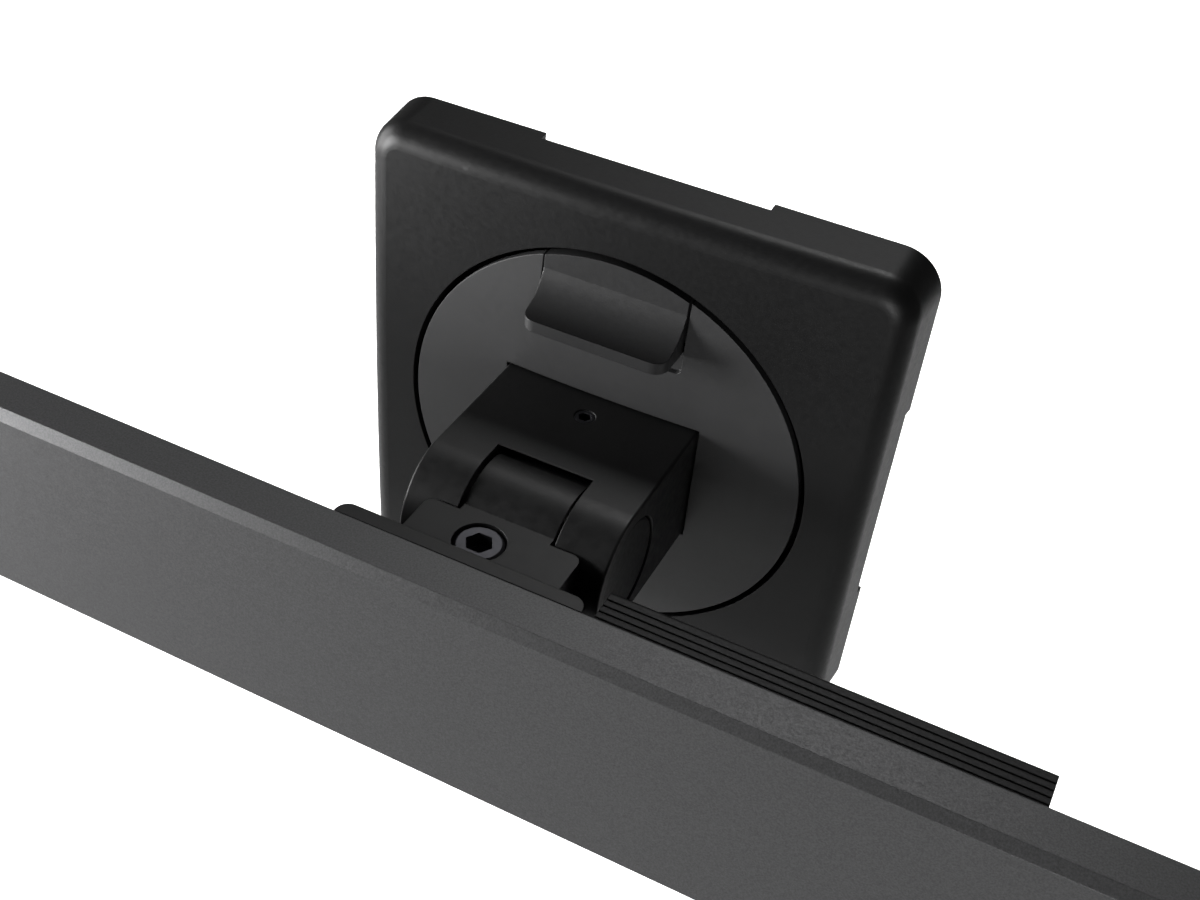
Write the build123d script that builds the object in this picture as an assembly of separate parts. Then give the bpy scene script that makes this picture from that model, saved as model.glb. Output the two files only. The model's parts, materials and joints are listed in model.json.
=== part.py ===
"""Picture light: a square wall plate with a quick-release swivel disc, a tilting hinge, a rail clamp
and a flat lamp bar that slides on its rear rail. One STEP file per separate piece.

Frame: millimetres, +Z up. The origin is on the wall, at the middle of the wall plate's back. X runs
along the lamp bar, and the light stands out from the wall towards -Y. "Out" below is a distance from
the wall, so a point that is OUT mm from the wall has y = -OUT.
"""
from build123d import *
from math import cos, pi, radians, sin
import os

# ---- driving dimensions -------------------------------------------------------------------------
# wall plate
PLATE_SIZE = 120.6          # cover, at the wall
PLATE_CORNER_R = 9.0
PLATE_OUT = 15.5            # wall to the edge of the round opening
COVER_CROWN_R = 1600.0      # the cover's face is part of a large sphere
COVER_EDGE_R = 5.2
COVER_WALL = 2.2
COLLAR_WALL = 1.5           # collar that stiffens the cover behind its opening
COVER_DRAFT = 5.7           # degrees, on the side walls
RIM_GAP = 0.4               # rim to wall
NOTCH_WIDTH = 50.0          # shallow pry notch in the middle of each side's rim
NOTCH_DEPTH = 2.2
OPENING_R = 47.0
BACK_SIZE = 112.0
BACK_THICK = 3.0
BACK_CORNER_R = 6.0
WIDE_PATTERN = 100.0        # wall screw holes, outer square
NARROW_PATTERN = 75.0       # wall screw holes, inner square
WALL_HOLE_R = 2.3

# swivel: the hub plate turns under the receiver ring's lip
RECEIVER_R = 39.0
RECEIVER_INNER_R = 22.0
RECEIVER_TOP = 9.8
GROOVE_R = 33.2
GROOVE_OUT = (4.4, 7.6)
LIP_R = 30.5
RING_SCREW_CIRCLE_R = 36.2
HUB_R = 30.0
HUB_OUT = (4.7, 7.3)
LUG_R = 32.8
DISC_R = 45.7
DISC_CROWN = 2.35
DISC_BACK = 13.1
DISC_EDGE_R = 0.8

# release slider, in a slot at the top of the disc
SLIDER_HALF = 15.95
SLIDER_LOW = 30.7           # underside of its lip
SLIDER_TRAVEL = 4.0
SLIDER_FACE = 15.8          # wall to the part that is flush with the disc
RAMP_TOP = 39.9             # where the flush part ends and the thumb hollow begins
LIP_OUT = 25.8
LIP_TOP = 33.4
LIP_CORNER_R = 3.2
SLOT_HALF = SLIDER_HALF + 0.5
SLOT_LOW = SLIDER_LOW - SLIDER_TRAVEL - 0.5
SLOT_FLOOR = 15.5           # wall to the shelf that closes the slot below the lip
SHELF_TOP = SLIDER_LOW + 0.2
BOLT_HALF = 8.0

# hinge
PIN_OUT = 47.2              # wall to the tilt axis, which is at z = 0
BLOCK_HALF = 22.2           # half of the hinge block's width
BARREL_R = 13.2             # the barrel stands a little below the nose
BLOCK_R = 14.0              # half of its height, and the radius of its nose
BLOCK_ROOT = 16.0
BLOCK_EDGE_R = 0.5
WINDOW_HALF = 10.7
WINDOW_CHAMFER = 0.3
WASHER_OUTER_R = 9.2        # friction washers, either side of the barrel
BARREL_HALF = 9.9
SLOT_R = 14.8               # round back wall of the window
PIN_R = 5.0
BUSH_R = 7.0
CAP_R = 10.8                # round covers over the ends of the tilt bolt
CAP_DEEP = 3.0
CAP_GAP = 0.45
GRUB_OUT = 24.7
GRUB_R = 2.1
PLUNGER_R = 3.5

# tilt head and clamp
TONGUE_TOP = 9.3
TONGUE_BACK = 58.3
TONGUE_HALF = 17.0
TONGUE_CORNER_R = 2.2
SADDLE_LEFT = -29.0
SADDLE_RIGHT = 24.0
SADDLE_TOP = 11.5
SADDLE_BACK = 70.1
SADDLE_CORNER_R = 2.8
CLAMP_X = -2.0
CLAMP_OUT = 64.7
CLAMP_SCREW_R = 3.0
CLAMP_HEAD_R = 5.0
CLAMP_HEAD_DEEP = 6.2
JAW_HALF = 14.0
JAW_REACH = 11.4            # from the saddle back towards the wall
JAW_LOW = -23.0

# lamp bar
BAR_LENGTH = 450.0
BAR_OUT = 73.35             # wall to the bar's rear face
BAR_THICK = 11.0
BAR_TOP = 11.5
BAR_HEIGHT = 50.5
BAR_WALL = 1.6
BAR_BEVEL = 1.9             # along the front top edge
CAP_THICK = 3.0
RAIL_TOP = -2.5
RAIL_BOTTOM = -17.5
RAIL_PROUD = 3.0
RAIL_UNDERCUT = 1.5
LED_PITCH = 15.0
LED_HALF = 1.75
LED_HIGH = 0.8

# driver housing on the rear rail
HOUSING = (24.5, 110.4)     # x range
HOUSING_OUT = 60.2
HOUSING_TOP = 6.0
HOUSING_LOW = -25.0
HOUSING_WALL = 1.8
GROOVE_PITCH = 1.75
GROOVE_HALF = 0.2
GROOVE_DEEP = 0.25
PLAIN_BAND = 2.6            # housing's back to its first groove
HOUSING_GROOVES = 6
HOUSING_SCREW_X = (40.0, 95.0)
HOUSING_SCREW_OUT = 71.3

# general clearances
GAP = 0.3
FIT = 0.05
THROUGH = (-5.0, 60.0)      # a range that passes right through any piece at the wall
ACROSS = (-40.0, 40.0)      # the same along X, through the hinge

# screws: half the thread's diameter
M2_5_R = 1.25
M3_R = 1.5
M5_R = 2.5
SMALL_SCREW_R = 1.2         # its thread forms itself in a moulded boss

BAR_FRONT = BAR_OUT + BAR_THICK
BAR_BOTTOM = BAR_TOP - BAR_HEIGHT
BAR_MID = BAR_OUT + BAR_THICK / 2


# ---- helpers ------------------------------------------------------------------------------------
def box(x, out, z):
    """A box from (low, high) ranges: along X, out from the wall, and up."""
    centre = Pos((x[0] + x[1]) / 2, -(out[0] + out[1]) / 2, (z[0] + z[1]) / 2)
    return centre * Box(x[1] - x[0], out[1] - out[0], z[1] - z[0])


def rod_x(x, out, z, r):
    return Pos((x[0] + x[1]) / 2, -out, z) * Rot(0, 90, 0) * Cylinder(r, x[1] - x[0])


def rod_out(out, x, z, r):
    return Pos(x, -(out[0] + out[1]) / 2, z) * Rot(90, 0, 0) * Cylinder(r, out[1] - out[0])


def rod_z(z, x, out, r):
    return Pos(x, -out, (z[0] + z[1]) / 2) * Cylinder(r, z[1] - z[0])


def front_plane(out):
    """The plane parallel to the wall, OUT mm from it, facing away from the wall."""
    return Plane.XZ.offset(out)


def rounded_square(size, radius, out):
    """Square ranges out[0]..out[1] from the wall, with rounded corners."""
    face = front_plane(out[0]) * RectangleRounded(size, size, radius)
    return extrude(face, out[1] - out[0])


def along_x(points, x):
    """A prism along X from (out, z) corner points."""
    face = make_face(Polyline([(0, -out, z) for out, z in points], close=True))
    return Pos(x[0], 0, 0) * extrude(face, x[1] - x[0], dir=(1, 0, 0))


def screw(head_r, head_h, shank_r, shank_l, socket_af):
    """A socket-head screw standing on the origin: its head above z = 0 and its shank below."""
    head = Pos(0, 0, head_h / 2) * Cylinder(head_r, head_h)
    head = chamfer(head.edges().group_by(Axis.Z)[-1], 0.12 * head_r)
    shank = Pos(0, 0, -shank_l / 2) * Cylinder(shank_r, shank_l)
    socket_depth = 0.55 * head_h
    across_corners = socket_af / cos(pi / 6)
    socket = Pos(0, 0, head_h - socket_depth) * extrude(RegularPolygon(across_corners / 2, 6), socket_depth)
    return head + shank - socket


def ring_places(count, radius, start=0.0):
    """(x, z) places evenly spaced on a circle about the disc's centre."""
    angles = [radians(start + 360.0 * i / count) for i in range(count)]
    return [(radius * cos(a), radius * sin(a)) for a in angles]


def square_places(spacing):
    half = spacing / 2
    return [(x, z) for x in (-half, half) for z in (-half, half)]


def facing_out(x, out, z):
    """Places a screw made on the origin so that its head faces away from the wall."""
    return Pos(x, -out, z) * Rot(90, 0, 0)


def facing_wall(x, out, z):
    return Pos(x, -out, z) * Rot(-90, 0, 0)


def group(solids):
    return Compound(children=list(solids))


# ---- wall plate ---------------------------------------------------------------------------------
COVER_SCREW_PLACES = [(x, z) for x in (-30.0, 30.0) for z in (-52.0, 52.0)]
COVER_SCREW_SEAT = 1.6      # depth of the recess for its head in the back plate
COVER_BOSS_R = 3.0
BOSS_TOP = 10.5
RING_SCREW_PLACES = ring_places(6, RING_SCREW_CIRCLE_R, 30)
RING_SCREW_SEAT = RECEIVER_TOP - 2.1


def back_plate():
    plate = rounded_square(BACK_SIZE, BACK_CORNER_R, (0, BACK_THICK))
    for spacing in (WIDE_PATTERN, NARROW_PATTERN):
        for x, z in square_places(spacing):
            plate -= rod_out(THROUGH, x, z, WALL_HOLE_R)
    blind_end = 0.6
    for x, z in RING_SCREW_PLACES:
        plate -= rod_out((blind_end, BACK_THICK + 1), x, z, M3_R + FIT)
    for x, z in COVER_SCREW_PLACES:
        plate -= rod_out(THROUGH, x, z, SMALL_SCREW_R + 0.4)
        plate -= rod_out((-1, COVER_SCREW_SEAT), x, z, COVER_BOSS_R)
    return plate


def cover_outside(inset, out):
    """The cover's outer form, made smaller all round by inset."""
    size = PLATE_SIZE - 2 * inset
    face = front_plane(RIM_GAP) * RectangleRounded(size, size, PLATE_CORNER_R - inset)
    form = extrude(face, out - RIM_GAP + 4, taper=COVER_DRAFT)
    crown = OPENING_R**2 / (2 * COVER_CROWN_R)
    ball = Pos(0, COVER_CROWN_R - out - crown, 0) * Sphere(COVER_CROWN_R)
    return form & ball


def cover():
    shell = cover_outside(0, PLATE_OUT)
    front_edges = shell.faces().sort_by(Axis.Y)[0].outer_wire().edges()
    shell = fillet(front_edges, COVER_EDGE_R)
    hollow = cover_outside(COVER_WALL, PLATE_OUT - COVER_WALL)
    inner_edges = hollow.faces().sort_by(Axis.Y)[0].outer_wire().edges()
    shell -= fillet(inner_edges, COVER_EDGE_R - COVER_WALL)
    collar_out = (BACK_THICK + GAP, PLATE_OUT - COVER_WALL + 0.2)
    shell += rod_out(collar_out, 0, 0, OPENING_R + COLLAR_WALL)
    shell -= rod_out((BACK_THICK, PLATE_OUT + 10), 0, 0, OPENING_R)
    half = NOTCH_WIDTH / 2
    reach = PLATE_SIZE / 2 + 2
    for turn in (0, 90, 180, 270):
        notch = box((-half, half), (-1, NOTCH_DEPTH + RIM_GAP), (reach - 8, reach))
        shell -= Rot(0, turn, 0) * notch
    for x, z in COVER_SCREW_PLACES:
        shell += rod_out((BACK_THICK + GAP, PLATE_OUT - COVER_WALL + 0.4), x, z, COVER_BOSS_R)
        shell -= rod_out((BACK_THICK, BOSS_TOP), x, z, M2_5_R)
    return shell


def cover_screws():
    one = screw(2.8, 1.3, SMALL_SCREW_R, 7.5, 2.0)
    return group(facing_wall(x, COVER_SCREW_SEAT - FIT, z) * one for x, z in COVER_SCREW_PLACES)


def receiver_ring():
    base = rod_out((BACK_THICK, RECEIVER_TOP), 0, 0, RECEIVER_R)
    base = chamfer(base.edges().group_by(Axis.Y)[0], 0.6)
    base -= rod_out(GROOVE_OUT, 0, 0, GROOVE_R)
    base -= rod_out((GROOVE_OUT[0], RECEIVER_TOP + 1), 0, 0, LIP_R)
    base -= rod_out(THROUGH, 0, 0, RECEIVER_INNER_R)
    for x, z in RING_SCREW_PLACES:
        base -= rod_out(THROUGH, x, z, M3_R + 0.1)
        base -= rod_out((RING_SCREW_SEAT, RECEIVER_TOP + 1), x, z, M5_R)
    return base


def receiver_screws():
    one = screw(2.35, 1.8, M3_R, 6.8, 2.0)
    return group(facing_out(x, RING_SCREW_SEAT + FIT, z) * one for x, z in RING_SCREW_PLACES)


def glide_ring():
    """Low-friction ring that the hub plate turns on."""
    ring = rod_out((GROOVE_OUT[0], HUB_OUT[0] - FIT), 0, 0, HUB_R - 1)
    return ring - rod_out(THROUGH, 0, 0, RECEIVER_INNER_R + 1)


# ---- swivel disc --------------------------------------------------------------------------------
BLOCK_SCREW_PLACES = [(x, z) for x in (-15.0, 15.0) for z in (-8.0, 8.0)]
HUB_SCREW_PLACES = [(x, z) for x in (-20.0, 20.0) for z in (-16.0, 16.0)]
BOLT_SCREW_Z = (13.5, 19.0)
BLOCK_SCREW_HEAD_R = 4.0
HEAD_RECESS = 0.5           # how far a screw head is let into the hub plate
HUB_SCREW_SEAT = 1.6
SEAT_GAP = 0.4              # round the hinge block where it is let into the disc
CHANNEL_LOW = 3.0           # lower end of the latch bolt's channel
FLANGE_HALF = 20.0          # slider's hidden flange, behind the disc
FLANGE_Z = (31.3, 38.0)


def dome(radius, rim_out, back):
    """A round plate whose front is a shallow dome."""
    ball_r = (DISC_R**2 + DISC_CROWN**2) / (2 * DISC_CROWN)
    plate = rod_out((back, rim_out + DISC_CROWN + 2), 0, 0, radius)
    return plate & (Pos(0, ball_r - rim_out - DISC_CROWN, 0) * Sphere(ball_r))


def disc():
    plate = dome(DISC_R, PLATE_OUT, DISC_BACK)
    rim = plate.edges().filter_by(GeomType.CIRCLE).sort_by(Axis.Y)[0]
    plate = fillet(rim, DISC_EDGE_R)
    plate += rod_out((HUB_OUT[1], DISC_BACK), 0, 0, HUB_R - 0.2)
    slot = box((-SLOT_HALF, SLOT_HALF), (5, 30), (SLOT_LOW, DISC_R + 3))
    slot = fillet(slot.edges().filter_by(Axis.Y).group_by(Axis.Z)[0], 1.2)
    shelf = box((-SLOT_HALF - 1, SLOT_HALF + 1), (DISC_BACK, SLOT_FLOOR), (SLOT_LOW - 1, SHELF_TOP))
    seat_half = BLOCK_HALF + SEAT_GAP
    seat_z = BLOCK_R + SEAT_GAP
    seat = box((-seat_half, seat_half), (BLOCK_ROOT, 30), (-seat_z, seat_z))
    channel = box((-BOLT_HALF - GAP, BOLT_HALF + GAP), (5, DISC_BACK), (CHANNEL_LOW, SLOT_LOW + 1))
    flange_low = FLANGE_Z[0] - SLIDER_TRAVEL - 4.8
    flange_room = box((-FLANGE_HALF - 1, FLANGE_HALF + 1), (5, DISC_BACK), (flange_low, 40))
    plate = plate - slot + shelf - channel - seat - flange_room
    for x, z in BLOCK_SCREW_PLACES:
        plate -= rod_out(THROUGH, x, z, M5_R + 0.1)
    for x, z in HUB_SCREW_PLACES:
        plate -= rod_out((0, DISC_BACK + 0.4), x, z, M2_5_R)
    return plate


def hub_plate():
    """Steel disc with two lugs that hook under the receiver ring's lip."""
    plate = rod_out(HUB_OUT, 0, 0, HUB_R)
    lug_x = (8, 26)
    lug_z = (-40, -16)
    sectors = box(lug_x, HUB_OUT, lug_z) + box((-lug_x[1], -lug_x[0]), HUB_OUT, lug_z)
    plate += rod_out(HUB_OUT, 0, 0, LUG_R) & sectors
    plate -= box((-BOLT_HALF - GAP, BOLT_HALF + GAP), (0, 20), (CHANNEL_LOW, 40))
    for x, z in BLOCK_SCREW_PLACES:
        plate -= rod_out(THROUGH, x, z, M5_R + 0.1)
        plate -= rod_out((0, HUB_OUT[0] + HEAD_RECESS), x, z, BLOCK_SCREW_HEAD_R + 0.1)
    for x, z in HUB_SCREW_PLACES:
        plate -= rod_out(THROUGH, x, z, SMALL_SCREW_R + 0.1)
        plate -= rod_out((0, HUB_OUT[0] + HUB_SCREW_SEAT), x, z, M5_R)
    return plate


def hub_screws():
    """Short screws that hold the hub plate on the back of the disc."""
    one = screw(2.4, 1.5, SMALL_SCREW_R, 6.4, 1.5)
    seat = HUB_OUT[0] + HUB_SCREW_SEAT - FIT
    return group(facing_wall(x, seat, z) * one for x, z in HUB_SCREW_PLACES)


def block_screws():
    """Low-head screws from behind, through the hub plate and the disc, into the hinge block."""
    one = screw(BLOCK_SCREW_HEAD_R, 1.6, M5_R, 19.0, 3.0)
    seat = HUB_OUT[0] + HEAD_RECESS - 0.02
    return group(facing_wall(x, seat, z) * one for x, z in BLOCK_SCREW_PLACES)


# ---- release slider -----------------------------------------------------------------------------
def thumb_ledge():
    """Flush with the disc from the rim down, then hollowed out to a thin lip."""
    rim_top = DISC_R + 1
    hollow_start = (SLIDER_FACE + 0.2, RAMP_TOP)
    lip_edge = (LIP_OUT, LIP_TOP)
    lip_root = (LIP_OUT - 0.2, SLIDER_LOW)
    outline = (
        Line((DISC_BACK, rim_top), (SLIDER_FACE, rim_top))
        + Line((SLIDER_FACE, rim_top), hollow_start)
        + ThreePointArc(hollow_start, (18.6, 35.9), lip_edge)
        + Line(lip_edge, lip_root)
        + Line(lip_root, (DISC_BACK, SLIDER_LOW))
        + Line((DISC_BACK, SLIDER_LOW), (DISC_BACK, rim_top)))
    # the outline is drawn with OUT along X and then stood up across the slider's width
    stood_up = Plane(origin=(-SLIDER_HALF, 0, 0), x_dir=(0, -1, 0), z_dir=(-1, 0, 0))
    ledge = extrude(stood_up * make_face(outline), -2 * SLIDER_HALF)
    lip_ends = [e for e in ledge.edges().filter_by(Axis.Z, tolerance=8)
                if abs(e.center().Y + LIP_OUT) < 0.5]
    ledge = fillet(lip_ends, LIP_CORNER_R)
    ledge &= rod_out((5, 30), 0, 0, DISC_R)
    # room above the slot's shelf for the whole travel
    over_shelf = (DISC_BACK - 1, SLOT_FLOOR + GAP)
    return ledge - box((-20, 20), over_shelf, (SLIDER_LOW - 1, SHELF_TOP + SLIDER_TRAVEL + GAP))


def release_slider():
    """Thumb ledge with a hidden flange behind the disc and a tail that carries the latch bolt."""
    hidden = (RECEIVER_TOP + GAP, DISC_BACK - GAP)
    flange = box((-FLANGE_HALF, FLANGE_HALF), hidden, FLANGE_Z)
    neck_z = (SHELF_TOP + SLIDER_TRAVEL + GAP, FLANGE_Z[1])
    neck = box((-SLIDER_HALF, SLIDER_HALF), (hidden[1] - 0.1, DISC_BACK + 0.1), neck_z)
    tail = box((-BOLT_HALF, BOLT_HALF), hidden, (11.0, FLANGE_Z[0] + 1))
    body = thumb_ledge() + neck + flange + tail
    for z in BOLT_SCREW_Z:
        body -= rod_out((5, hidden[1] - 0.5), 0, z, M2_5_R)
    return body


def latch_bolt():
    """Steel bolt whose round end sits under the receiver ring's lip."""
    plate = box((-BOLT_HALF, BOLT_HALF), (HUB_OUT[0] + 0.1, HUB_OUT[1] - 0.1), (10.0, 36.0))
    plate &= rod_out(THROUGH, 0, 0, LUG_R)
    spacer = box((-BOLT_HALF, BOLT_HALF), (HUB_OUT[1] - 0.2, RECEIVER_TOP + GAP), (11.0, 28.0))
    spacer &= rod_out(THROUGH, 0, 0, LIP_R - 1.0)
    bolt = plate + spacer
    for z in BOLT_SCREW_Z:
        bolt -= rod_out(THROUGH, 0, z, SMALL_SCREW_R + 0.1)
    return bolt


def bolt_screws():
    one = screw(2.2, 1.0, SMALL_SCREW_R, 6.8, 1.5)
    return group(facing_wall(0, HUB_OUT[0] + 0.08, z) * one for z in BOLT_SCREW_Z)


def return_spring():
    """Arched leaf spring between the end of the channel and the bolt."""
    thick = 0.4
    low, high, half = 3.2, 9.9, 7.6
    outer = ThreePointArc((-half, low), (0, high), (half, low))
    inner = ThreePointArc((half - thick, low), (0, high - thick), (-half + thick, low))
    ends = Line((half, low), (half - thick, low)) + Line((-half + thick, low), (-half, low))
    strip = make_face(outer + inner + ends)
    return extrude(front_plane(HUB_OUT[0] + 0.3) * strip, 2.0)


# ---- hinge --------------------------------------------------------------------------------------
CHEEK_SEAT = BLOCK_HALF - 8.0    # where the tilt bolt's head and nut bear, from the middle
WASHER_R = 8.0
SPRING_PITCH = 0.9


def block_profile(radius):
    body = box((-BLOCK_HALF, BLOCK_HALF), (BLOCK_ROOT, PIN_OUT), (-radius, radius))
    return body + rod_x((-BLOCK_HALF, BLOCK_HALF), PIN_OUT, 0, radius)


def hinge_block():
    block = block_profile(BLOCK_R)
    side_edges = [e for e in block.edges()
                  if abs(abs(e.center().X) - BLOCK_HALF) < 0.1 and e.center().Y < -BLOCK_ROOT - 1]
    block = fillet(side_edges, BLOCK_EDGE_R)
    window = rod_x((-WINDOW_HALF, WINDOW_HALF), PIN_OUT, 0, SLOT_R)
    window += box((-WINDOW_HALF, WINDOW_HALF), (PIN_OUT, PIN_OUT + 30), (-20, 20))
    block -= window
    window_rear = [e for e in block.edges().filter_by(Axis.X)
                   if abs(abs(e.center().Z) - BLOCK_R) < 0.1 and abs(e.center().X) < 1
                   and e.length < 2 * WINDOW_HALF + 1]
    block = chamfer(window_rear, WINDOW_CHAMFER)
    block -= rod_x(ACROSS, PIN_OUT, 0, PIN_R + FIT)
    for side in (-1, 1):
        ends = sorted((side * CHEEK_SEAT, side * 30))
        block -= rod_x(ends, PIN_OUT, 0, CAP_R + CAP_GAP)
    block -= rod_z((-2, 20), 0, GRUB_OUT, GRUB_R + FIT)
    block -= Pos(0, -GRUB_OUT, BLOCK_R - 0.1) * Cone(GRUB_R + FIT, GRUB_R + 0.25, 0.2)
    block -= rod_out((GRUB_OUT, PIN_OUT), 0, 0, PLUNGER_R + FIT)
    for x, z in BLOCK_SCREW_PLACES:
        block -= rod_out((0, 25), x, z, M5_R + FIT)
    return block


def tilt_bolt():
    length = 2 * CHEEK_SEAT + 4.6
    one = screw(WASHER_R, 3.6, PIN_R, length, 6.0)
    return Pos(CHEEK_SEAT, -PIN_OUT, 0) * Rot(0, 90, 0) * one


def disc_springs():
    """Two spring washers under the nut, which press the friction washers against the barrel."""
    washers = []
    for i in range(2):
        x0 = -CHEEK_SEAT - SPRING_PITCH * (i + 1)
        washer = rod_x((x0, x0 + SPRING_PITCH - 0.1), PIN_OUT, 0, WASHER_R)
        washers.append(washer - rod_x(ACROSS, PIN_OUT, 0, PIN_R + 0.2))
    return group(washers)


def tilt_nut():
    face = -CHEEK_SEAT - 2 * SPRING_PITCH - 0.1
    hexagon = extrude(RegularPolygon(8.6, 6), 2.4)
    nut = Pos(face, -PIN_OUT, 0) * Rot(0, -90, 0) * hexagon
    return nut - rod_x(ACROSS, PIN_OUT, 0, PIN_R + 0.02)


def pin_cap(side):
    """Round cover over the end of the tilt bolt, let into the side of the hinge block."""
    face = BLOCK_HALF - 0.25
    wall = 1.3
    cap = rod_x((face - CAP_DEEP, face), PIN_OUT, 0, CAP_R)
    cap = fillet(cap.edges().group_by(Axis.X)[-1], 0.5)
    cap -= rod_x((face - CAP_DEEP - 1, face - wall), PIN_OUT, 0, CAP_R - wall)
    return cap if side > 0 else mirror(cap, Plane.YZ)


def friction_washers():
    washers = []
    for side in (-1, 1):
        ends = sorted((side * (BARREL_HALF + 0.02), side * (WINDOW_HALF - 0.02)))
        washers.append(rod_x(ends, PIN_OUT, 0, WASHER_OUTER_R) - rod_x(ACROSS, PIN_OUT, 0, PIN_R + 0.1))
    return group(washers)


def tension_screw():
    """Socket grub screw with a cone point, which wedges the friction plunger forwards."""
    point_length = 2.0
    shoulder = 2.2
    body = rod_z((shoulder, BLOCK_R - 0.15), 0, GRUB_OUT, GRUB_R)
    point = Pos(0, -GRUB_OUT, shoulder - point_length / 2) * Cone(0.6, GRUB_R, point_length)
    socket = Pos(0, -GRUB_OUT, BLOCK_R - 2.9) * extrude(RegularPolygon(1.44, 6), 3.0)
    return body + point - socket


def friction_plunger():
    """Pad that the tension screw presses against the back of the barrel."""
    rear = GRUB_OUT + GRUB_R + 0.1
    plunger = rod_out((rear, PIN_OUT - BARREL_R), 0, 0, PLUNGER_R)
    plunger = chamfer(plunger.edges().group_by(Axis.Y)[-1], 0.8)
    return plunger - rod_x((-8, 8), PIN_OUT, 0, BARREL_R + 2 * FIT)


# ---- tilt head and clamp ------------------------------------------------------------------------
def saddle():
    """The flat jaw that lies against the bar and hooks the rail's upper edge."""
    front = BAR_OUT - FIT
    hook = 1.6
    plate = along_x([(SADDLE_BACK, SADDLE_TOP), (front, SADDLE_TOP), (front, RAIL_TOP - RAIL_UNDERCUT + 0.3),
                     (SADDLE_BACK, RAIL_TOP - RAIL_UNDERCUT + 0.3 + hook)], (SADDLE_LEFT, SADDLE_RIGHT))
    ends = [e for e in plate.edges().filter_by(Axis.Z) if abs(e.center().Y + SADDLE_BACK) < 0.1]
    return fillet(ends, SADDLE_CORNER_R)


def tilt_head():
    """Barrel, tongue and saddle in one casting."""
    barrel = rod_x((-BARREL_HALF, BARREL_HALF), PIN_OUT, 0, BARREL_R)
    height = (-TONGUE_TOP, TONGUE_TOP)
    tongue = box((-TONGUE_HALF, TONGUE_HALF), (TONGUE_BACK, SADDLE_BACK + 0.1), height)
    rear_corners = tongue.edges().filter_by(Axis.Z).sort_by(Axis.Y)[-2:]
    tongue = fillet(rear_corners, TONGUE_CORNER_R) - rod_x(ACROSS, PIN_OUT, 0, BLOCK_R + 0.5)
    bridge = box((-BARREL_HALF, BARREL_HALF), (PIN_OUT + 6, PIN_OUT + 18), height)
    head = barrel + bridge + tongue + saddle()
    head -= rod_x(ACROSS, PIN_OUT, 0, BUSH_R)
    head -= rod_z((TONGUE_TOP - CLAMP_HEAD_DEEP - 0.1, TONGUE_TOP + 1), CLAMP_X, CLAMP_OUT, CLAMP_HEAD_R + 0.35)
    head -= rod_z((-30, 20), CLAMP_X, CLAMP_OUT, CLAMP_SCREW_R + 0.2)
    return head


def barrel_bush():
    tube = rod_x((-BARREL_HALF, BARREL_HALF), PIN_OUT, 0, BUSH_R)
    return tube - rod_x(ACROSS, PIN_OUT, 0, PIN_R + FIT)


def clamp_jaw():
    """Lower jaw, drawn up by the clamp screw, which hooks the rail's lower edge."""
    rear = SADDLE_BACK - JAW_REACH
    top = -TONGUE_TOP - 0.4
    front = BAR_OUT - FIT
    jaw = along_x([(rear, top), (SADDLE_BACK, top), (SADDLE_BACK, RAIL_BOTTOM - 0.5),
                   (front, RAIL_BOTTOM + 1.1), (front, JAW_LOW),
                   (rear + 5.0, JAW_LOW), (rear, JAW_LOW + 4.0)],
                  (CLAMP_X - JAW_HALF, CLAMP_X + JAW_HALF))
    return jaw - rod_z((-40, 20), CLAMP_X, CLAMP_OUT, CLAMP_SCREW_R + FIT)


def clamp_screw():
    one = screw(CLAMP_HEAD_R, 6.0, CLAMP_SCREW_R, 24.0, 5.0)
    return Pos(CLAMP_X, -CLAMP_OUT, TONGUE_TOP - CLAMP_HEAD_DEEP) * one


# ---- lamp bar -----------------------------------------------------------------------------------
RAIL_MIDDLE = (RAIL_TOP + RAIL_BOTTOM) / 2
STOP_X = -138.0
STOP_HALF = 4.0
STOP_WALL = 2.5
CAVITY = (BAR_OUT + BAR_WALL, BAR_FRONT - BAR_WALL)
WEB_TOP = BAR_BOTTOM + 12.0
WEB_LOW = WEB_TOP - 1.6
PORT_PLACES = (BAR_TOP - 6.0, WEB_TOP + 4.5)
PORT_R = 4.2                # screw ports that run the bar's whole length
LEAD_X = 60.0
LEAD_HOLE_R = 2.4
LEAD_Z = 1.0
END_SCREW_SEAT = 1.7
BOARD_HALF = 210.0
BOARD_THICK = 1.2
BOARD_SCREW_X = (-197.5, -122.5, -47.5, 27.5, 102.5, 177.5)


def bar_body(x, z):
    """The bar's outer block over the range x, with its bevelled front top edge."""
    body = box(x, (BAR_OUT, BAR_FRONT), z)
    top_edges = body.edges().filter_by(Axis.X).group_by(Axis.Z)[-1].sort_by(Axis.Y)
    body = chamfer(top_edges[0], BAR_BEVEL)
    rear_top = body.edges().filter_by(Axis.X).group_by(Axis.Z)[-1].sort_by(Axis.Y)[-1]
    return fillet(rear_top, 0.3)


def dovetail_rail(x):
    proud = BAR_OUT - RAIL_PROUD
    high = RAIL_TOP - RAIL_UNDERCUT
    low = RAIL_BOTTOM + RAIL_UNDERCUT
    return along_x([(BAR_OUT + 0.1, high), (BAR_OUT, high), (proud, RAIL_TOP), (proud, RAIL_BOTTOM),
                    (BAR_OUT, low), (BAR_OUT + 0.1, low)], x)


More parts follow.
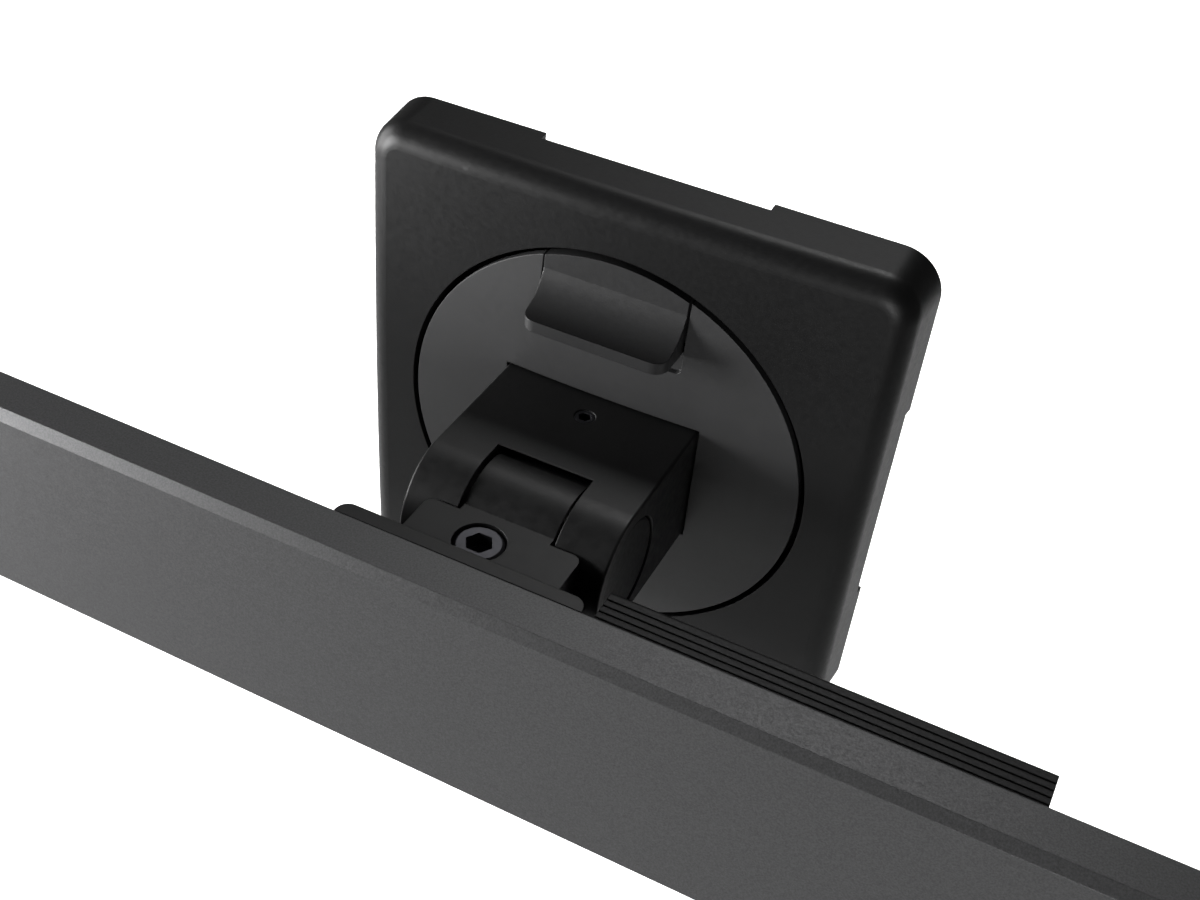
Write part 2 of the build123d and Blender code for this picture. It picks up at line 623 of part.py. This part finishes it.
def bar_extrusion():
    """Hollow bar with a dovetail rail behind it and an open light channel below."""
    half = BAR_LENGTH / 2 - CAP_THICK
    length = (-half, half)
    past_ends = (-half - 1, half + 1)
    body = bar_body(length, (BAR_BOTTOM, BAR_TOP))
    body -= box(past_ends, CAVITY, (WEB_TOP, BAR_TOP - BAR_WALL))
    body -= box(past_ends, CAVITY, (BAR_BOTTOM - 1, WEB_LOW))
    body += dovetail_rail(length)
    between_walls = box(length, (BAR_OUT + 1, BAR_FRONT - 1), (-50, 50))
    for z in PORT_PLACES:
        body += rod_x(length, BAR_MID, z, PORT_R) & between_walls
        body -= rod_x(past_ends, BAR_MID, z, M2_5_R + FIT)
    body -= rod_out((BAR_OUT - 4, BAR_OUT + 4), LEAD_X, LEAD_Z, LEAD_HOLE_R)
    body -= rod_z((WEB_LOW - 1, PORT_PLACES[1] + 5), LEAD_X, BAR_MID, 1.6)
    for x in BOARD_SCREW_X:
        body -= rod_z((WEB_LOW - 1, WEB_LOW + 1.5), x, BAR_MID, 1.0)
    return body


def end_cap(side):
    """Moulded end cap with a plug for the light channel."""
    half = BAR_LENGTH / 2
    inner = half - CAP_THICK
    plate = bar_body((inner, half), (BAR_BOTTOM, BAR_TOP))
    plate = fillet(plate.edges().group_by(Axis.X)[-1], 0.8)
    plug = box((inner - 5, inner), (CAVITY[0] + FIT, CAVITY[1] - FIT), (BAR_BOTTOM + 3.4, WEB_LOW - 3.5))
    cap = plate + plug
    for z in PORT_PLACES:
        cap -= rod_x((half - 10, half + 1), BAR_MID, z, 1.6)
        cap -= rod_x((half - END_SCREW_SEAT, half + 1), BAR_MID, z, M5_R)
    return cap if side > 0 else mirror(cap, Plane.YZ)


def end_cap_screws():
    one = screw(2.4, 1.5, M2_5_R, 10.0, 2.0)
    seat = BAR_LENGTH / 2 - END_SCREW_SEAT + FIT
    right = [Pos(seat, -BAR_MID, z) * Rot(0, 90, 0) * one for z in PORT_PLACES]
    left = [Pos(-seat, -BAR_MID, z) * Rot(0, -90, 0) * one for z in PORT_PLACES]
    return group(right + left)


def led_board():
    board = box((-BOARD_HALF, BOARD_HALF), (CAVITY[0] + 0.2, CAVITY[1] - 0.2),
                (WEB_LOW - BOARD_THICK, WEB_LOW))
    for x in BOARD_SCREW_X:
        board -= rod_z((-60, 20), x, BAR_MID, 1.1)
    return board


def led_chips():
    low = WEB_LOW - BOARD_THICK
    count = int(2 * BOARD_HALF / LED_PITCH)
    first = -LED_PITCH * (count - 1) / 2
    out = (BAR_MID - LED_HALF, BAR_MID + LED_HALF)
    places = [first + LED_PITCH * i for i in range(count)]
    return group(box((x - LED_HALF, x + LED_HALF), out, (low - LED_HIGH, low)) for x in places)


def board_screws():
    one = screw(1.9, 1.0, 0.95, 2.6, 1.3)
    return group(Pos(x, -BAR_MID, WEB_LOW - BOARD_THICK) * Rot(180, 0, 0) * one for x in BOARD_SCREW_X)


def diffuser():
    """Opal strip that closes the light channel, with two legs that stand on the channel's walls."""
    half = BAR_LENGTH / 2 - CAP_THICK - 0.2
    out = (CAVITY[0] + FIT, CAVITY[1] - FIT)
    strip = box((-half, half), out, (BAR_BOTTOM, BAR_BOTTOM + 1.6))
    for leg in ((out[0], out[0] + 1.0), (out[1] - 1.0, out[1])):
        strip += box((-half, half), leg, (BAR_BOTTOM + 1.5, BAR_BOTTOM + 3.2))
    return strip


def rail_stop():
    """Small clamp on the rail that ends the bar's travel."""
    back = BAR_OUT - RAIL_PROUD - STOP_WALL
    near_bar = BAR_OUT - GAP
    on_rail = BAR_OUT - RAIL_PROUD - FIT
    top = RAIL_TOP + 2.0
    low = RAIL_BOTTOM - 2.0
    stop = along_x([(back, top), (near_bar, top), (near_bar, RAIL_TOP - 1.1), (on_rail, RAIL_TOP + GAP),
                    (on_rail, RAIL_BOTTOM - GAP), (near_bar, RAIL_BOTTOM + 1.1), (near_bar, low), (back, low)],
                   (STOP_X - STOP_HALF, STOP_X + STOP_HALF))
    return stop - rod_out((60, BAR_OUT - RAIL_PROUD), STOP_X, RAIL_MIDDLE, M3_R + FIT)


def stop_screw():
    one = screw(2.6, 1.4, M3_R, 2.35, 2.0)
    return facing_wall(STOP_X, BAR_OUT - RAIL_PROUD - STOP_WALL, RAIL_MIDDLE) * one


# ---- driver housing -----------------------------------------------------------------------------
INLET_Z = -10.0
INLET_OUT = 66.1
INLET_R = 3.85
PLUG_R = 2.8
CONTACT_R = 1.0


def driver_housing():
    """Grooved housing behind the bar: a shell that is open towards the bar and hooks the rail."""
    x0, x1 = HOUSING
    past_ends = (x0 - 1, x1 + 1)
    shell = box(HOUSING, (HOUSING_OUT, BAR_OUT - FIT), (HOUSING_LOW, HOUSING_TOP))
    long_edges = [e for e in shell.edges().filter_by(Axis.X) if abs(e.center().Y + HOUSING_OUT) < 0.1]
    shell = fillet(long_edges, 1.0)
    shell -= box((x0 + HOUSING_WALL, x1 - HOUSING_WALL), (HOUSING_OUT + HOUSING_WALL, BAR_OUT + 1),
                 (HOUSING_LOW + HOUSING_WALL, HOUSING_TOP - HOUSING_WALL))
    shell -= box(past_ends, (BAR_OUT - RAIL_PROUD - GAP, BAR_OUT + 1), (RAIL_BOTTOM - GAP, RAIL_TOP + GAP))
    for i in range(HOUSING_GROOVES):
        middle = HOUSING_OUT + PLAIN_BAND + GROOVE_PITCH * i
        shell -= box(past_ends, (middle - GROOVE_HALF, middle + GROOVE_HALF),
                     (HOUSING_TOP - GROOVE_DEEP, HOUSING_TOP + 1))
    shell -= rod_x((x1 - 4, x1 + 1), INLET_OUT, INLET_Z, INLET_R + FIT)
    for x in HOUSING_SCREW_X:
        shell -= rod_z((HOUSING_LOW - 1, HOUSING_LOW + 3), x, HOUSING_SCREW_OUT, M3_R + FIT)
    return shell


def housing_screws():
    """Grub screws up through the housing's floor, which press on the rail's lower edge."""
    height = (HOUSING_LOW + 0.4, RAIL_BOTTOM - 0.1)
    socket = extrude(RegularPolygon(0.85, 6), 2.0)
    return group(rod_z(height, x, HOUSING_SCREW_OUT, M3_R) - Pos(x, -HOUSING_SCREW_OUT, HOUSING_LOW) * socket
                 for x in HOUSING_SCREW_X)


BOARD_OUT = (62.6, 64.2)
TERMINAL_TOP = BOARD_OUT[1] + 5.0


def driver_board():
    board = box((30.0, 98.0), BOARD_OUT, (-21.5, 2.5))
    for x in (33.0, 95.0):
        board -= rod_out((60, 70), x, -18.5, 1.3)
    return board


def driver_parts():
    """The coil, the capacitors, the control chip and the terminal block on the driver board."""
    face = BOARD_OUT[1]
    tall = face + 5.2
    coil = box((40, 52), (face, tall), (-18, -6))
    coil = fillet(coil.edges().filter_by(Axis.Y), 2.0)
    capacitors = [rod_out((face, TERMINAL_TOP), x, -11.0, 4.0) for x in (61.0, 71.0)]
    chip = box((80, 86), (face, face + 1.5), (-14, -8))
    terminal = box((LEAD_X - 4, LEAD_X + 4), (face, TERMINAL_TOP), (-2.5, 2.2))
    return group([coil] + capacitors + [chip, terminal])


def power_inlet():
    """Low-voltage socket: a sleeve with a square body behind the wall and a contact pin in the middle."""
    x1 = HOUSING[1]
    rear = x1 - 9.0
    mouth_end = rear + 1.0
    sleeve = rod_x((rear, x1 - 0.1), INLET_OUT, INLET_Z, INLET_R)
    reach = INLET_R + 0.3
    sleeve += box((rear, x1 - HOUSING_WALL - 0.1), (INLET_OUT - INLET_R, INLET_OUT + INLET_R),
                  (INLET_Z - reach, INLET_Z + reach))
    sleeve -= rod_x((mouth_end, x1 + 1), INLET_OUT, INLET_Z, PLUG_R)
    return sleeve + rod_x((mouth_end - 0.1, x1 - 1.0), INLET_OUT, INLET_Z, CONTACT_R)


def lead_grommet():
    grommet = rod_out((BAR_OUT - 0.8, BAR_OUT + BAR_WALL + 0.8), LEAD_X, LEAD_Z, LEAD_HOLE_R - FIT)
    grommet += rod_out((BAR_OUT - 0.9, BAR_OUT - FIT), LEAD_X, LEAD_Z, 3.0)
    return grommet - rod_out((60, 90), LEAD_X, LEAD_Z, 1.5)


def led_leads():
    """Two insulated wires from the driver board, through the bar's back, to the light board."""
    wire_r = 0.65
    start = TERMINAL_TOP + 0.1
    wires = []
    for x in (LEAD_X - 0.75, LEAD_X + 0.75):
        corners = [(x, -start, LEAD_Z), (x, -BAR_MID, LEAD_Z), (x, -BAR_MID, WEB_LOW + FIT)]
        path = FilletPolyline(*corners, radius=3.0)
        ring = Plane(origin=path @ 0, z_dir=path % 0) * Circle(wire_r)
        wires.append(sweep(ring, path=path))
    return group(wires)


# ---- all the pieces -----------------------------------------------------------------------------
def pieces():
    return {
        "back_plate": back_plate(), "wall_cover": cover(), "cover_screws": cover_screws(),
        "receiver_ring": receiver_ring(), "receiver_screws": receiver_screws(), "glide_ring": glide_ring(),
        "swivel_disc": disc(), "hub_plate": hub_plate(), "hub_screws": hub_screws(),
        "block_screws": block_screws(), "return_spring": return_spring(),
        "release_slider": release_slider(), "latch_bolt": latch_bolt(), "bolt_screws": bolt_screws(),
        "hinge_block": hinge_block(), "tilt_bolt": tilt_bolt(), "disc_springs": disc_springs(),
        "tilt_nut": tilt_nut(), "pin_cap_right": pin_cap(1), "pin_cap_left": pin_cap(-1),
        "friction_washers": friction_washers(), "tension_screw": tension_screw(),
        "friction_plunger": friction_plunger(), "tilt_head": tilt_head(), "barrel_bush": barrel_bush(),
        "clamp_jaw": clamp_jaw(), "clamp_screw": clamp_screw(), "bar_extrusion": bar_extrusion(),
        "end_cap_right": end_cap(1), "end_cap_left": end_cap(-1), "end_cap_screws": end_cap_screws(),
        "led_board": led_board(), "led_chips": led_chips(), "board_screws": board_screws(),
        "diffuser": diffuser(), "rail_stop": rail_stop(), "stop_screw": stop_screw(),
        "driver_housing": driver_housing(), "housing_screws": housing_screws(),
        "driver_board": driver_board(),
        "driver_parts": driver_parts(), "power_inlet": power_inlet(), "lead_grommet": lead_grommet(),
        "led_leads": led_leads(),
    }


os.makedirs("parts", exist_ok=True)
for name, piece in pieces().items():
    export_step(piece, f"parts/{name}.step")
    print(f"{name:18s} {piece.volume:10.1f} mm3")
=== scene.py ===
"""Looks for the picture light: materials, floor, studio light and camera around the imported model."""
import json
import math

import bpy
from mathutils import Matrix, Vector


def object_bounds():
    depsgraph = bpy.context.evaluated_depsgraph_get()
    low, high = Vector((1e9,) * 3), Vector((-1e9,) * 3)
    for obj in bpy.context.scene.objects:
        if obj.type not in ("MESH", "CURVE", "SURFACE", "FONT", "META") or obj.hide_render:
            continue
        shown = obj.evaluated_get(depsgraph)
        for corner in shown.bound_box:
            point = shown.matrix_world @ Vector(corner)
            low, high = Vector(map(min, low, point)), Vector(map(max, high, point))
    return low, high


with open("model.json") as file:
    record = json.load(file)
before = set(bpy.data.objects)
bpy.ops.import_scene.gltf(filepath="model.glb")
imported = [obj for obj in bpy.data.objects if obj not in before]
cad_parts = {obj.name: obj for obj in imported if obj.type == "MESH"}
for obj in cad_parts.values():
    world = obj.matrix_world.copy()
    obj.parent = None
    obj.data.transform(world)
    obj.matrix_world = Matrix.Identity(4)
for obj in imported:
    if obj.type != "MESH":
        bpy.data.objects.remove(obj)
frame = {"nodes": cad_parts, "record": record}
cad_bounds = [list(corner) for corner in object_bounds()]

# ---- camera: its place in metres and its angles in degrees ---------------------------------------
CAMERA_AZIMUTH = 22.99
CAMERA_ELEVATION = 40.85
CAMERA_ROLL = -5.80
CAMERA_PLACE = (0.0973, -0.2501, 0.2044)
CAMERA_LENS = 45.06
CAMERA_SHIFT = (0.0132, 0.0390)

# ---- stage --------------------------------------------------------------------------------------
FLOOR_DROP = 0.55            # floor below the light's lowest point
FLOOR_HALF = 12.0
FLOOR_COLOUR = (0.93, 0.93, 0.93, 1.0)
FLOOR_ROUGHNESS = 0.9
FLOOR_GLOW = (0.86, 0.86, 0.86, 1.0)     # seen by the camera alone, so it lights nothing
BACKDROP = (0.96, 0.96, 0.96, 1.0)       # seen by the camera alone too
HORIZON_LIGHT = 0.10         # brightness of the air up to HORIZON_BAND, the sine of its height
HORIZON_BAND = 0.06
CEILING_LIGHT = 0.02
CEILING_START = 0.30         # the sine of the height where the air is at its dimmest

# ---- finish -------------------------------------------------------------------------------------
EDGE_RADIUS = 0.0003         # how far a sharp edge is softened in the finish
EDGE_SAMPLES = 4
COOL = 1.02                  # a grey finish is this much stronger in blue


# ---- material helpers ---------------------------------------------------------------------------
def new_material(name):
    material = bpy.data.materials.new(name)
    material.use_nodes = True
    tree = material.node_tree
    return material, tree, tree.nodes["Principled BSDF"]


def add_node(tree, kind, **values):
    """A node with its named inputs set."""
    node = tree.nodes.new(kind)
    for key, value in values.items():
        node.inputs[key.replace("_", " ")].default_value = value
    return node


def noise(tree, scale, detail=2.0, roughness=0.5, stretch=(1.0, 1.0, 1.0)):
    """Noise in the object's own metres; scale is in cells a metre."""
    place = tree.nodes.new("ShaderNodeTexCoord")
    mapping = add_node(tree, "ShaderNodeMapping", Scale=stretch)
    tree.links.new(place.outputs["Object"], mapping.inputs["Vector"])
    field = add_node(tree, "ShaderNodeTexNoise", Scale=scale, Detail=detail, Roughness=roughness)
    tree.links.new(mapping.outputs["Vector"], field.inputs["Vector"])
    return field.outputs["Fac"]


def spread(tree, field, low, high, start=0.3, end=0.7):
    """A field mapped from start..end to low..high."""
    node = add_node(tree, "ShaderNodeMapRange")
    node.inputs["From Min"].default_value = start
    node.inputs["From Max"].default_value = end
    node.inputs["To Min"].default_value = low
    node.inputs["To Max"].default_value = high
    tree.links.new(field, node.inputs["Value"])
    return node.outputs["Result"]


def tint(tree, shader, field, dark, light, start=0.3, end=0.7):
    """The base colour wanders between two greys or colours."""
    ramp = tree.nodes.new("ShaderNodeValToRGB")
    ramp.color_ramp.elements[0].position = start
    ramp.color_ramp.elements[0].color = (*dark, 1.0)
    ramp.color_ramp.elements[1].position = end
    ramp.color_ramp.elements[1].color = (*light, 1.0)
    tree.links.new(field, ramp.inputs["Fac"])
    tree.links.new(ramp.outputs["Color"], shader.inputs["Base Color"])


def roughen(tree, shader, field, low, high):
    tree.links.new(spread(tree, field, low, high), shader.inputs["Roughness"])


def bumpy(tree, shader, fields, edge=EDGE_RADIUS):
    """Softened edges, then bumps laid over each other: each is a field, its strength and its height."""
    softened = add_node(tree, "ShaderNodeBevel", Radius=edge)
    softened.samples = EDGE_SAMPLES
    normal = softened.outputs["Normal"]
    for field, strength, height in fields:
        bump = add_node(tree, "ShaderNodeBump", Strength=strength, Distance=height)
        tree.links.new(field, bump.inputs["Height"])
        tree.links.new(normal, bump.inputs["Normal"])
        normal = bump.outputs["Normal"]
    tree.links.new(normal, shader.inputs["Normal"])


# ---- materials ----------------------------------------------------------------------------------
def grey(value):
    """A very slightly cool grey."""
    return (value, value, value * COOL)


def moulded(name, tone, rough, specular=0.5):
    """Spark-eroded moulded plastic: a fine, even, matte texture with a slow drift in tone."""
    material, tree, shader = new_material(name)
    drift = noise(tree, 38.0, 3.0)
    grain = noise(tree, 3800.0, 2.0)
    tint(tree, shader, drift, grey(tone * 0.92), grey(tone * 1.08))
    roughen(tree, shader, noise(tree, 900.0, 2.0), rough - 0.03, rough + 0.04)
    bumpy(tree, shader, [(grain, 0.25, 0.00006)])
    shader.inputs["Specular IOR Level"].default_value = specular
    return material


def powder_coated(name, tone, rough, specular=0.2):
    """Satin powder coat over a casting: a faint orange peel."""
    material, tree, shader = new_material(name)
    peel = noise(tree, 1300.0, 3.0)
    tint(tree, shader, noise(tree, 90.0, 4.0), grey(tone * 0.9), grey(tone * 1.12))
    roughen(tree, shader, noise(tree, 500.0, 3.0), rough - 0.05, rough + 0.05)
    bumpy(tree, shader, [(peel, 0.22, 0.00008), (noise(tree, 5200.0), 0.15, 0.00003)])
    shader.inputs["Specular IOR Level"].default_value = specular
    return material


def anodised(name, tone, rough, metallic):
    """Black anodised, bead-blasted aluminium: metallic grain in both colour and height."""
    material, tree, shader = new_material(name)
    grain = noise(tree, 2600.0, 4.0, 0.7)
    tint(tree, shader, grain, grey(tone * 0.8), grey(tone * 1.22), 0.36, 0.66)
    shader.inputs["Metallic"].default_value = metallic
    roughen(tree, shader, noise(tree, 1500.0, 3.0), rough - 0.06, rough + 0.08)
    bumpy(tree, shader, [(grain, 0.2, 0.00005)])
    return material


def plated(name, colour, rough, turned=0.0):
    """Metal with a fine random finish and slight stains."""
    material, tree, shader = new_material(name)
    stain = noise(tree, 160.0, 5.0)
    tint(tree, shader, stain, [c * 0.8 for c in colour], [min(1.0, c * 1.1) for c in colour])
    shader.inputs["Metallic"].default_value = 1.0
    roughen(tree, shader, noise(tree, 700.0, 4.0), rough - 0.07, rough + 0.1)
    bumpy(tree, shader, [(noise(tree, 2200.0, 3.0, 0.6, (1.0 + turned, 1.0, 1.0)), 0.2, 0.00004)])
    return material


def plain_plastic(name, colour, rough):
    """Small moulded and coated parts: slight mottling."""
    material, tree, shader = new_material(name)
    tint(tree, shader, noise(tree, 220.0, 4.0), [c * 0.9 for c in colour], colour)
    roughen(tree, shader, noise(tree, 900.0), rough - 0.05, rough + 0.05)
    bumpy(tree, shader, [(noise(tree, 2500.0), 0.15, 0.00003)])
    return material


def opal(name):
    """Opal diffuser: light passes a little way into it."""
    material, tree, shader = new_material(name)
    tint(tree, shader, noise(tree, 60.0), (0.82, 0.82, 0.80), (0.90, 0.90, 0.88))
    roughen(tree, shader, noise(tree, 1200.0), 0.38, 0.5)
    bumpy(tree, shader, [(noise(tree, 3000.0), 0.1, 0.00003)])
    shader.inputs["Subsurface Weight"].default_value = 0.4
    shader.inputs["Subsurface Radius"].default_value = (0.002, 0.002, 0.002)
    return material


def dress(material, nodes):
    """Gives CAD nodes a material in every slot."""
    for name in nodes:
        mesh = frame["nodes"][name].data
        if not mesh.materials:
            mesh.materials.append(material)
        for i in range(len(mesh.materials)):
            mesh.materials[i] = material


def dress_by_slot():
    """Each node's material follows the slot that the record gives it."""
    looks = {
        "moulded_black": moulded("moulded black", 0.010, 0.40, 0.34),
        "cast_black": powder_coated("cast black", 0.011, 0.42, 0.4),
        "bar_black": anodised("bar anodised", 0.105, 0.46, 0.55),
        "housing_black": anodised("housing anodised", 0.02, 0.48, 0.6),
        "screw_black": plated("black oxide", (0.10, 0.10, 0.11), 0.42),
        "black_steel": powder_coated("black coated steel", 0.012, 0.55),
        "zinc_steel": plated("zinc plate", (0.60, 0.60, 0.62), 0.34),
        "spring_steel": plated("spring steel", (0.32, 0.33, 0.36), 0.3, 3.0),
        "bearing_plastic": plain_plastic("bearing plastic", (0.74, 0.73, 0.68), 0.45),
        "bronze": plated("sintered bronze", (0.55, 0.38, 0.18), 0.5),
        "board": plain_plastic("solder mask", (0.78, 0.80, 0.78), 0.4),
        "components": plain_plastic("components", (0.80, 0.66, 0.28), 0.35),
        "opal": opal("opal diffuser"),
        "rubber_black": plain_plastic("black rubber", (0.03, 0.03, 0.03), 0.65),
    }
    for part in frame["record"]["subparts"]:
        dress(looks[part["material_slot"]], [part["node"]])
    # the disc and its slider are lighter mouldings than the cover
    dress(moulded("disc plastic", 0.044, 0.42), ["swivel_disc"])
    dress(moulded("slider plastic", 0.03, 0.42), ["release_slider"])


# ---- stage, light and camera --------------------------------------------------------------------
def floor():
    """A wide, plain, pale floor well below the light."""
    low = Vector(cad_bounds[0])
    z = low.z - FLOOR_DROP
    mesh = bpy.data.meshes.new("floor")
    half = FLOOR_HALF
    corners = [(-half, -half, z), (half, -half, z), (half, half, z), (-half, half, z)]
    mesh.from_pydata(corners, [], [(0, 1, 2, 3)])
    ground = bpy.data.objects.new("floor", mesh)
    bpy.context.scene.collection.objects.link(ground)
    material, tree, shader = new_material("pale floor")
    shader.inputs["Base Color"].default_value = FLOOR_COLOUR
    shader.inputs["Roughness"].default_value = FLOOR_ROUGHNESS
    shader.inputs["Emission Color"].default_value = FLOOR_GLOW
    ray = tree.nodes.new("ShaderNodeLightPath")
    tree.links.new(ray.outputs["Is Camera Ray"], shader.inputs["Emission Strength"])
    mesh.materials.append(material)


def softbox(name, place, target, size, power, beam=180.0):
    """A rectangular area light; beam is the full angle of its cone, in degrees."""
    light = bpy.data.lights.new(name, "AREA")
    light.shape = "RECTANGLE"
    light.size, light.size_y = size
    light.energy = power
    light.spread = math.radians(beam)
    lamp = bpy.data.objects.new(name, light)
    lamp.location = place
    lamp.rotation_euler = (Vector(target) - Vector(place)).to_track_quat("-Z", "Y").to_euler()
    lamp.visible_camera = False
    bpy.context.scene.collection.objects.link(lamp)


def studio_air():
    """A dim studio that lights the object little, in front of a plain pale backdrop."""
    world = bpy.data.worlds.new("studio air")
    world.use_nodes = True
    tree = world.node_tree
    place = tree.nodes.new("ShaderNodeTexCoord")
    split = tree.nodes.new("ShaderNodeSeparateXYZ")
    ramp = tree.nodes.new("ShaderNodeValToRGB")
    ramp.color_ramp.elements[0].position = HORIZON_BAND
    ramp.color_ramp.elements[0].color = (HORIZON_LIGHT, HORIZON_LIGHT, HORIZON_LIGHT, 1.0)
    ramp.color_ramp.elements[1].position = CEILING_START
    ramp.color_ramp.elements[1].color = (CEILING_LIGHT, CEILING_LIGHT, CEILING_LIGHT, 1.0)
    air = tree.nodes["Background"]
    tree.links.new(place.outputs["Generated"], split.inputs["Vector"])
    tree.links.new(split.outputs["Z"], ramp.inputs["Fac"])
    tree.links.new(ramp.outputs["Color"], air.inputs["Color"])
    backdrop = add_node(tree, "ShaderNodeBackground", Color=BACKDROP)
    ray = tree.nodes.new("ShaderNodeLightPath")
    choice = tree.nodes.new("ShaderNodeMixShader")
    tree.links.new(ray.outputs["Is Camera Ray"], choice.inputs[0])
    tree.links.new(air.outputs["Background"], choice.inputs[1])
    tree.links.new(backdrop.outputs["Background"], choice.inputs[2])
    tree.links.new(choice.outputs["Shader"], tree.nodes["World Output"].inputs["Surface"])
    bpy.context.scene.world = world


def studio():
    """Soft lamps at the left and in front of the object, and washes for the floor behind it."""
    middle = (0.0, -0.03, 0.0)
    upper_left_side = (-0.04, -0.02, 0.03)
    softbox("left close", (-0.35, -0.25, 0.05), upper_left_side, (0.12, 0.20), 2.1)
    softbox("left near", (-0.55, -0.35, 0.0), middle, (0.25, 0.40), 0.6)
    softbox("left side", (-1.1, -0.1, 0.1), middle, (0.40, 0.80), 8.0)
    softbox("front", (0.35, -1.2, 0.0), (0.06, -0.08, -0.01), (0.40, 0.30), 4.1)
    softbox("floor wash", (-0.3, 1.5, 2.2), (-0.3, 1.0, -0.6), (0.8, 0.8), 9.4, 60.0)
    softbox("floor wash left", (-1.3, 1.9, 1.9), (-1.2, 1.2, -0.6), (0.6, 0.6), 4.0, 50.0)
    softbox("floor wash right", (0.7, 2.3, 2.0), (0.6, 2.0, -0.6), (0.6, 0.6), 5.5, 56.0)
    studio_air()


def camera():
    """Places the camera from its azimuth, elevation and roll; azimuth 0 looks along +Y."""
    az, el = math.radians(CAMERA_AZIMUTH), math.radians(CAMERA_ELEVATION)
    roll = math.radians(CAMERA_ROLL)
    back = Vector((math.sin(az) * math.cos(el), -math.cos(az) * math.cos(el), math.sin(el)))
    right = Vector((0, 0, 1)).cross(back).normalized()
    up = back.cross(right)
    rolled_right = math.cos(roll) * right - math.sin(roll) * up
    rolled_up = math.sin(roll) * right + math.cos(roll) * up
    turn = Matrix((rolled_right, rolled_up, back)).transposed().to_4x4()
    data = bpy.data.cameras.new("camera")
    data.lens = CAMERA_LENS
    data.shift_x, data.shift_y = CAMERA_SHIFT
    data.clip_start = 0.01
    seat = bpy.data.objects.new("camera", data)
    seat.matrix_world = Matrix.Translation(Vector(CAMERA_PLACE)) @ turn
    bpy.context.scene.collection.objects.link(seat)
    bpy.context.scene.camera = seat


bpy.context.scene.view_settings.view_transform = "Standard"
dress_by_slot()
floor()
studio()
camera()
